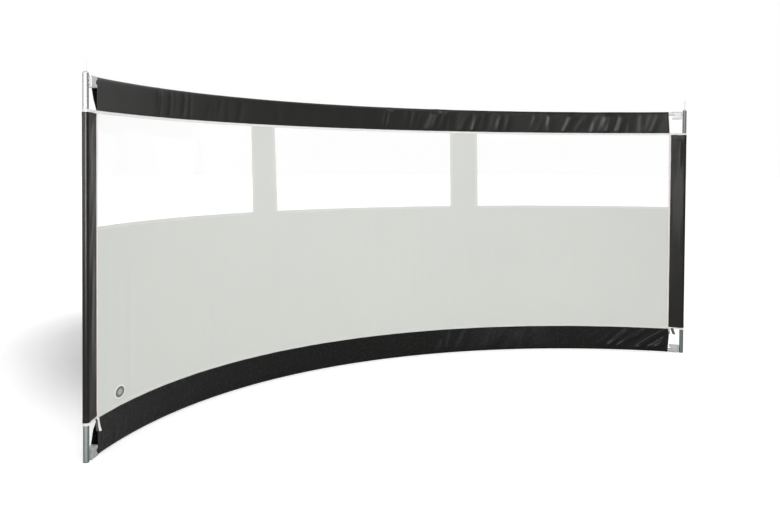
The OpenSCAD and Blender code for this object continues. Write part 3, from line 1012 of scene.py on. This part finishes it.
tieTails = [
    makeTail("leftTailFront", leftTieS, trimTape, {
        "aside": 0.004, "q": -0.0105, "drift": 0.001, "curl": -0.008, "drop": 0.048, "twist": -25,
    }),
    # The back tail is white tape in shade: the dark tape paints that shade
    makeTail("leftTailBackInShade", leftTieS, darkTape, {
        "aside": -0.010, "q": -0.0095, "drift": 0.0, "curl": -0.004, "drop": 0.044, "twist": -15,
    }),
    makeTail("rightTailFront", rightTieS, darkTape, {
        "aside": 0.013, "q": -0.0105, "drift": 0.012, "curl": -0.002, "drop": 0.034, "twist": 10,
        "width": 0.016,
    }),
    # The back tail is pale tape in shade: the grey tape paints that shade
    makeTail("rightTailBackInShade", rightTieS, greyTape, {
        "aside": -0.003, "q": -0.0095, "drift": 0.004, "curl": 0.004, "drop": 0.034, "twist": -60,
    }),
]
knots = [makeKnot("left", leftTieS), makeKnot("right", rightTieS)]
print("tapes and ties made")


patch = {
    "thickness": 0.001, "steps": 48, "offBow": 0.0016, "dome": 0.0006, "rimRise": 0.0007,
    "rimFrom": 0.44, "rimTo": 0.82, "rimEase": (0.06, 0.04), "colourEase": 0.03,
    "middle": (0.33, 0.34, 0.32), "rim": (0.008, 0.010, 0.008), "edge": (0.90, 0.90, 0.88),
    "shader": {"Specular IOR Level": 0.3}, "pitch": 0.0008, "threadTone": 0.3,
    "rough": 0.5, "roughSpread": 0.2, "relief": 0.00015,
}


# Patch material: a plain oval with a dark corded rim and a pale backing cloth round it
def patchMaterial(name, look):
    material, tree, shader, _ = newMaterial(name, look["shader"])
    threads = placeGroup(tree, weaveGroup, {"Pitch": look["pitch"]})
    ring = addNode(tree, "ShaderNodeAttribute", attribute_name="ring")
    ramp = addNode(tree, "ShaderNodeValToRGB")
    stops = ramp.color_ramp.elements
    stops[0].color = (*look["middle"], 1)
    stops[1].position = look["rimFrom"]
    stops[1].color = (*look["middle"], 1)
    rimFrom, rimTo, ease = look["rimFrom"], look["rimTo"], look["colourEase"]
    for place, part in ((rimFrom + ease, "rim"), (rimTo, "rim"), (rimTo + ease, "edge")):
        stops.new(place).color = (*look[part], 1)
    link(tree, ring.outputs["Fac"], ramp.inputs[0])
    tone = mathNode(tree, "MULTIPLY", threads.outputs["Tone"], look["threadTone"])
    colour = mixColour(tree, tone, ramp.outputs[0], look["edge"])
    rough = spreadRough(tree, look, threads.outputs["Height"])
    dressShader(tree, shader, colour, rough, threads.outputs["Height"], look["relief"])
    return material


# Patch: a square grid bent to an oval, x = u sqrt(1 - v^2/2) and y = v sqrt(1 - u^2/2),
# laid on the sheltered face, with its rim raised
def makePatch():
    plan = patch
    (west, south, low), (east, north, high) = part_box("patch")
    middleZ, halfHigh = (low + high) / 2, (high - low) / 2
    middleS = alongFromX((west + east) / 2)
    halfWide = math.hypot(east - west, north - south) / 2
    u, v = np.meshgrid(np.linspace(-1, 1, plan["steps"]), np.linspace(-1, 1, plan["steps"]))
    x = u * np.sqrt(1 - v * v / 2)
    y = v * np.sqrt(1 - u * u / 2)
    ring = np.hypot(x, y)
    outside, inside = plan["rimEase"]
    rim = smoothStep(ring, plan["rimFrom"] - outside, plan["rimFrom"] + inside)
    rim = rim * (1 - smoothStep(ring, plan["rimTo"] - inside, plan["rimTo"] + outside))
    rise = plan["dome"] * (1 - ring ** 4) + plan["rimRise"] * rim
    points = bowPoint(middleS + halfWide * x, -plan["offBow"] - rise, middleZ + halfHigh * y)[:, ::-1]
    places = np.stack([halfWide * x, halfHigh * y], axis=-1)[:, ::-1]
    material = patchMaterial("plainPatch", plan)
    piece, sheet = makeCloth("plainPatch", points, places, plan["thickness"], material)
    addAttribute(piece, "ring", ring[:, ::-1], sheet["quads"])
    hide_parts("patch")
    return piece


plainPatch = makePatch()
print("patch made")


bracket = {
    "thickness": 0.002, "offPost": 0.009, "reach": 0.067, "clearance": 0.0005, "lap": 0.0002,
    "bend": 0.003, "notch": 0.010, "edge": 0.0004, "edgeSegments": 2,
    "flangeSteps": 8, "bendSteps": 6, "webSteps": 26, "steps": 14, "plateSteps": (12, 14),
}


# Channel section of a bracket: down its upper flange, round a bend, down the web and back
# out along the lower flange. The web is where q is least.
def channelSection(plan, depth, low, high):
    half, bend = plan["thickness"] / 2, plan["bend"]
    top, bottom = high - half, low + half
    turn = np.linspace(0, math.pi / 2, plan["bendSteps"])
    flange = np.linspace(depth + half, -depth + bend, plan["flangeSteps"], endpoint=False)
    q = np.concatenate([flange, -depth + bend - bend * np.sin(turn)])
    z = np.concatenate([np.full(len(flange), top), top - bend + bend * np.cos(turn)])
    webZ = np.linspace(top - bend, bottom + bend, plan["webSteps"])[1:-1]
    q = np.concatenate([q, np.full(len(webZ), -depth), q[::-1]])
    z = np.concatenate([z, webZ, low + high - z[::-1]])
    return q, z


# Bracket: a channel section with rounded bends carried along the bar, whose end is hollowed
# by a round notch, and a flat plate that closes its other end
def makeBracket(name, node, side):
    plan = bracket
    low, high = spanOf(node, 2)
    half = plan["thickness"] / 2
    start = postRadius + plan["offPost"] + half
    depth = railRadius + plan["clearance"] + half
    q, z = channelSection(plan, depth, low, high)
    cut = np.sqrt(np.clip(plan["notch"] ** 2 - (z - (low + high) / 2) ** 2, 0, None))
    reach = plan["reach"] - np.where(np.isclose(q, -depth), cut, 0)
    s = start + np.linspace(0, 1, plan["steps"])[:, None] * (reach - start)
    q, z = np.broadcast_to(q, s.shape), np.broadcast_to(z, s.shape)
    channel = nearPost(side, s, q, z)
    channel = channel if side == "right" else channel[:, ::-1]
    plateRow = np.linspace(-depth - half + plan["lap"], depth + half, plan["plateSteps"][0])
    plateQ, plateZ = np.meshgrid(plateRow, np.linspace(low, high, plan["plateSteps"][1]))
    plate = nearPost(side, start, plateQ, plateZ)
    shapes = (
        (name, channel, np.stack([s, q + z], axis=-1)),
        (name + "End", plate, np.stack([plateQ, plateZ], axis=-1)),
    )
    for label, points, places in shapes:
        piece, _ = makeCloth(label, points, places, plan["thickness"], bracketMetal)
        bevel = piece.modifiers.new("softEdges", "BEVEL")
        bevel.width = plan["edge"]
        bevel.segments = plan["edgeSegments"]
        bevel.limit_method = "ANGLE"
        if label == name:
            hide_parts(node)


for side in ("left", "right"):
    for level in ("top", "bottom"):
        makeBracket(side + level.capitalize() + "Bracket", f"{side}_{level}_bracket", side)
print("brackets made")


# sunk is how deep a stitch sits in the cloth. yarnPlace is the size of a stitch's steps on
# its own flat place, for the twist.
stitch = {
    "length": 0.0034, "pitch": 0.0048, "radius": 0.00036, "endShare": 0.35, "sunk": 0.0001,
    "lineSteps": 3000, "yarnPlace": (0.0017, 0.0006),
    "seamCol": 0.7, "hemRow": 3.4, "endInset": 0.3, "topInset": 1.5,  # in cells from an edge
    "fromEdge": 0.003, "fromHem": 0.002, "pipingInset": 0.0025, "pipingEnd": 0.004,
}


# Values of a grid at fractional rows and columns, by straight interpolation
def sampleGrid(grid, rows, cols):
    row = np.clip(rows.astype(int), 0, grid.shape[0] - 2)
    col = np.clip(cols.astype(int), 0, grid.shape[1] - 2)
    down = (rows - row)[:, None]
    over = (cols - col)[:, None]
    upper = grid[row, col] * (1 - over) + grid[row, col + 1] * over
    lower = grid[row + 1, col] * (1 - over) + grid[row + 1, col + 1] * over
    return upper * (1 - down) + lower * down


# Stitches a pitch apart along a line on a cloth, given by the rows and columns of its ends.
# side is 1 for the outer face and -1 for the inner one.
def seamLine(sheet, rows, cols, side):
    t = np.linspace(0, 1, stitch["lineSteps"])
    rowLine = np.interp(t, (0, 1), rows)
    colLine = np.interp(t, (0, 1), cols)
    line = sampleGrid(sheet["points"], rowLine, colLine)
    run = np.concatenate([[0], np.cumsum(np.linalg.norm(np.diff(line, axis=0), axis=1))])
    at = np.interp(np.arange(stitch["pitch"] / 2, run[-1], stitch["pitch"]), run, t)
    atRow = np.interp(at, t, rowLine)
    atCol = np.interp(at, t, colLine)
    normal = side * sampleGrid(sheet["normals"], atRow, atCol)
    thick = sampleGrid(np.broadcast_to(sheet["thickness"], sheet["points"].shape), atRow, atCol)
    middle = sampleGrid(sheet["points"], atRow, atCol) + normal * (thick / 2 - stitch["sunk"])
    slope = np.gradient(line, axis=0)
    direction = np.stack([np.interp(at, t, slope[:, k]) for k in range(3)], axis=1)
    return middle, direction / np.linalg.norm(direction, axis=1, keepdims=True), normal


# Joins seams into one piece: each stitch is a four-sided spindle with three rings
def makeStitches(name, lines, material):
    middle, direction, normal = (np.concatenate(part) for part in zip(*lines))
    side = np.cross(normal, direction)
    side = side / np.linalg.norm(side, axis=1, keepdims=True)
    turn = math.pi / 4 + math.pi / 2 * np.arange(4)
    along = np.array([-0.5, 0, 0.5])[None, :, None, None] * stitch["length"]
    fat = np.array([stitch["endShare"], 1.0, stitch["endShare"]])[None, :, None, None] * stitch["radius"]
    cross = (np.cos(turn)[None, None, :, None] * side[:, None, None, :]
             + np.sin(turn)[None, None, :, None] * normal[:, None, None, :])
    points = middle[:, None, None, :] + along * direction[:, None, None, :] + fat * cross
    wall = np.array([[r * 4 + c, r * 4 + (c + 1) % 4, r * 4 + 4 + (c + 1) % 4, r * 4 + 4 + c]
                     for r in range(2) for c in range(4)])
    faces = np.concatenate([wall, [[3, 2, 1, 0]], [[8, 9, 10, 11]]])
    quads = (faces[None] + 12 * np.arange(len(middle))[:, None, None]).reshape(-1, 4)
    alongStep, roundStep = stitch["yarnPlace"]
    places = np.stack([(quads % 12) // 4 * alongStep, (quads % 4) * roundStep], axis=-1)
    return makePiece(name, points.reshape(-1, 3), quads, places, material, roundCrease)


# Seams of a sleeve: along both sides of its seam and across both hems
def sleeveSeams(sheet):
    rows, cols = sheet["points"].shape[:2]
    seamCols = (stitch["seamCol"], cols - 1 - stitch["seamCol"])
    hemRows = (stitch["hemRow"], rows - 1 - stitch["hemRow"])
    lines = [seamLine(sheet, (1, rows - 2), (col, col), 1) for col in seamCols]
    return lines + [seamLine(sheet, (row, row), (1, cols - 2), 1) for row in hemRows]


# Double rows along the hems of the openings, on both faces of the panel
def panelSeams(sheet):
    lines = []
    rows, cols = sheet["points"].shape[:2]
    heights, columns, marks = sheet["heights"], sheet["columns"], sheet["marks"]
    distances = (stitch["fromEdge"], panel["hem"] - stitch["fromHem"])
    inset = stitch["endInset"]
    upRows = (sheet["sillRow"], rows - stitch["topInset"])
    for side in (1, -1):
        for first, last in (marks[0:2], marks[2:4], marks[4:6]):
            for distance in distances:
                row = np.interp(sillZ - distance, heights, np.arange(rows))
                lines.append(seamLine(sheet, (row, row), (first + inset, last - inset), side))
        for mark, inward in zip(marks[1:5], (1, -1, 1, -1)):
            for distance in distances:
                col = np.interp(columns[mark] + inward * distance, columns, np.arange(cols))
                lines.append(seamLine(sheet, upRows, (col, col), side))
    return lines


# A row on the piping, along the bow at one height or up it at one place
def pipingSeam(start, end, level, isUpright, side):
    run = np.arange(start, end, stitch["pitch"])
    level = np.full_like(run, level)
    s, z = (level, run) if isUpright else (run, level)
    middle = bowPoint(s, side * (piping["thickness"] / 2 - stitch["sunk"]), z)
    normal = side * (bowPoint(s, 1.0, z) - bowPoint(s, 0.0, z))
    direction = np.gradient(middle, axis=0)
    return middle, direction / np.linalg.norm(direction, axis=1, keepdims=True), normal


# Rows along the middle of the piping, on both faces
def trimSeams():
    lines = []
    inset = stitch["pipingInset"]
    for side in (1, -1):
        for level in (panelTopZ + inset, panelBottomZ - inset):
            ends = (leftStart + stitch["pipingEnd"], rightStart - stitch["pipingEnd"])
            lines.append(pipingSeam(*ends, level, False, side))
        for level in (leftEnd - inset, rightEnd + inset):
            lines.append(pipingSeam(panelBottomZ, panelTopZ, level, True, side))
    return lines


# Each sleeve with its cut and the bar that carries it
sleeves = (
    (topSleeve, topSheet, "top_rail"), (bottomSleeve, bottomSheet, "bottom_rail"),
    (leftSleeve, leftSheet, "left_post"), (rightSleeve, rightSheet, "right_post"),
)
sleeveStitches = [
    makeStitches(piece.name + "Stitches", sleeveSeams(sheet), blackThread)
    for piece, sheet, _ in sleeves
]
trimStitches = makeStitches("trimStitches", trimSeams(), whiteThread)
panelStitches = makeStitches("panelStitches", panelSeams(panelSheet), greyThread)
print("stitching made")


# The floor lies a little under the feet, so that they never flicker against it. dimPlace and
# dimReach give an oval in plan, in which a shadow is painted on the floor behind the bow.
floorPlan = {
    "half": 60.0, "drop": 0.0006, "shader": {"Roughness": 0.9, "Specular IOR Level": 0.0},
    "dark": (0.8118, 0.8118, 0.8118), "light": (0.82, 0.82, 0.82), "blotchScale": 0.4, "speckScale": 6.0,
    "seen": 0.53, "mirrored": 0.05,
    "dimPlace": (-0.35, 1.1), "dimReach": (1.6, 2.3), "dimFrom": 1.0, "dimTo": 0.5, "behindTo": 0.16,
}


# Masks of the rays that look at a background, straight or through film, and of mirrored rays
def seenRays(tree):
    path = addNode(tree, "ShaderNodeLightPath")
    direct = mathNode(tree, "MAXIMUM", path.outputs["Is Camera Ray"], path.outputs["Is Transmission Ray"])
    return direct, path.outputs["Is Glossy Ray"]


# Distance in plan from a place, with each axis measured in its own reach
def planDistance(tree, axes, place, reach):
    squares = []
    for k in (0, 1):
        share = mathNode(tree, "DIVIDE", mathNode(tree, "SUBTRACT", axes[k], place[k]), reach[k])
        squares.append(mathNode(tree, "MULTIPLY", share, share))
    return mathNode(tree, "SQRT", mathNode(tree, "ADD", *squares))


# Eases from 0 to 1 as a value goes from start to end
def easeNode(tree, value, start, end):
    ends = {"From Min": start, "From Max": end}
    ease = addNode(tree, "ShaderNodeMapRange", ends, interpolation_type="SMOOTHSTEP")
    link(tree, value, ease.inputs[0])
    return ease.outputs[0]


# Floor material: pale, and glowing where it is looked at, but with a painted shadow that lowers the glow
# behind the bow
def floorMaterial(name, look):
    material, tree, shader, _ = newMaterial(name, look["shader"])
    link(tree, placeMarks(tree, look)[1], shader.inputs["Base Color"])
    axes = splitPlace(tree, "Object")
    # Painted shadow: inside the oval and behind the bow the glow drops
    away = planDistance(tree, axes, look["dimPlace"], look["dimReach"])
    fromBow = planDistance(tree, axes, (0.0, bowY), (1.0, 1.0))
    nearness = easeNode(tree, away, look["dimFrom"], look["dimTo"])
    behind = easeNode(tree, fromBow, bowRadius, bowRadius + look["behindTo"])
    paintedShadow = mathNode(tree, "MULTIPLY", nearness, behind)
    glow = mathNode(tree, "MULTIPLY_ADD", paintedShadow, -look["seen"], look["seen"])
    direct, mirrored = seenRays(tree)
    share = look["mirrored"] / look["seen"]
    seen = mathNode(tree, "MAXIMUM", direct, mathNode(tree, "MULTIPLY", mirrored, share))
    link(tree, mathNode(tree, "MULTIPLY", seen, glow), shader.inputs["Emission Strength"])
    shader.inputs["Emission Color"].default_value = (1, 1, 1, 1)
    return material


def makeFloor(plan):
    half, drop = plan["half"], plan["drop"]
    mesh = bpy.data.meshes.new("floor")
    corners = [(-half, -half, -drop), (half, -half, -drop), (half, half, -drop), (-half, half, -drop)]
    mesh.from_pydata(corners, [], [(0, 1, 2, 3)])
    mesh.materials.append(floorMaterial("paleFloor", plan))
    floor = bpy.data.objects.new("floor", mesh)
    bpy.context.scene.collection.objects.link(floor)


makeFloor(floorPlan)


# World: soft even light, plain white wherever it is looked at, and a room that darkens
# towards the front wherever it is mirrored
def makeWorld(look):
    world = bpy.data.worlds.new("studio")
    bpy.context.scene.world = world
    world.use_nodes = True
    tree = world.node_tree
    tree.nodes.clear()
    output = addNode(tree, "ShaderNodeOutputWorld")
    white = {"Color": (1, 1, 1, 1)}
    soft = addNode(tree, "ShaderNodeBackground", {**white, "Strength": look["soft"]})
    seen = addNode(tree, "ShaderNodeBackground", {**white, "Strength": look["seen"]})
    room = addNode(tree, "ShaderNodeBackground", white)
    front = addNode(tree, "ShaderNodeMapRange", {
        "From Min": look["roomFrom"], "From Max": look["roomTo"],
        "To Min": look["room"], "To Max": look["seen"],
    })
    link(tree, splitPlace(tree, "Generated")[1], front.inputs[0])
    link(tree, front.outputs[0], room.inputs["Strength"])
    direct, mirrored = seenRays(tree)
    looked = mixShaders(tree, direct, soft.outputs[0], seen.outputs[0])
    link(tree, mixShaders(tree, mirrored, looked, room.outputs[0]), output.inputs[0])


makeWorld({"soft": 0.515, "seen": 1.0, "room": 0.25, "roomFrom": -0.6, "roomTo": 0.15})

# Suns: azimuth is degrees to the left of straight ahead of the object, seen by a viewer in
# front of it. The first three light the colours and the others only gleam on cloth and metal.
suns = {
    "key": {"energy": 1.12, "angle": 25.0, "elevation": 22.0, "azimuth": 7.0, "gleams": False},
    "east": {"energy": 0.8, "angle": 50.0, "elevation": 14.0, "azimuth": -70.0, "gleams": False},
    "west": {"energy": 0.5, "angle": 50.0, "elevation": 14.0, "azimuth": 66.0, "gleams": False},
    "highGleam": {"energy": 0.78, "angle": 22.0, "elevation": 34.0, "azimuth": -32.0, "gleams": True},
    "broadGleam": {"energy": 0.33, "angle": 50.0, "elevation": 14.0, "azimuth": 48.0, "gleams": True},
    "lowGleam": {"energy": 0.30, "angle": 7.0, "elevation": 5.0, "azimuth": 5.0, "gleams": True},
}

# Upright strip lamps near the left post, seen only as a gleam on cloth and metal
strips = {
    "frontStrip": {
        "place": (-2.36, -2.52, 1.10), "wide": 1.3, "high": 1.2,
        "energy": 94.0, "azimuth": 18.0, "spread": 116.0,
    },
    "sideStrip": {
        "place": (-3.60, -0.85, 1.25), "wide": 1.0, "high": 1.3,
        "energy": 54.0, "azimuth": 77.0, "spread": 180.0,
    },
}


# A lamp turned to shine from an azimuth and an elevation, in degrees
def makeLamp(name, kind, energy, azimuth, elevation):
    lamp = bpy.data.lights.new(name, kind)
    lamp.energy = energy
    holder = bpy.data.objects.new(name, lamp)
    holder.rotation_euler = (math.radians(90 - elevation), 0, math.radians(-azimuth))
    bpy.context.scene.collection.objects.link(holder)
    return lamp, holder


for name, plan in suns.items():
    lamp, holder = makeLamp(name, "SUN", plan["energy"], plan["azimuth"], plan["elevation"])
    lamp.angle = math.radians(plan["angle"])
    holder.visible_glossy = plan["gleams"]
    holder.visible_diffuse = not plan["gleams"]
for name, plan in strips.items():
    lamp, holder = makeLamp(name, "AREA", plan["energy"], plan["azimuth"], 0)
    lamp.shape = "RECTANGLE"
    lamp.size = plan["wide"]
    lamp.size_y = plan["high"]
    lamp.spread = math.radians(plan["spread"])
    holder.location = plan["place"]
    holder.visible_diffuse = False
    holder.visible_camera = False
    holder.visible_transmission = False

# Camera at chest height before the left end, tipped a little down, with its frame lowered
view = {
    "place": (-2.4791, -3.5191, 1.0785), "pitch": -1.408, "roll": 0.3989, "yaw": -34.0466,
    "lens": 39.471, "sensor": 36.0, "shiftY": -0.0966, "farthest": 200.0,
}


def makeCamera(plan):
    lens = bpy.data.cameras.new("camera")
    lens.sensor_width = plan["sensor"]
    lens.sensor_fit = "HORIZONTAL"
    lens.lens = plan["lens"]
    lens.shift_y = plan["shiftY"]
    lens.clip_end = plan["farthest"]
    camera = bpy.data.objects.new("camera", lens)
    camera.location = plan["place"]
    turns = (90 + plan["pitch"], -plan["roll"], plan["yaw"])
    camera.rotation_euler = [math.radians(turn) for turn in turns]
    bpy.context.scene.collection.objects.link(camera)
    bpy.context.scene.camera = camera


makeCamera(view)
bpy.context.scene.view_settings.view_transform = "Standard"
print("studio ready")
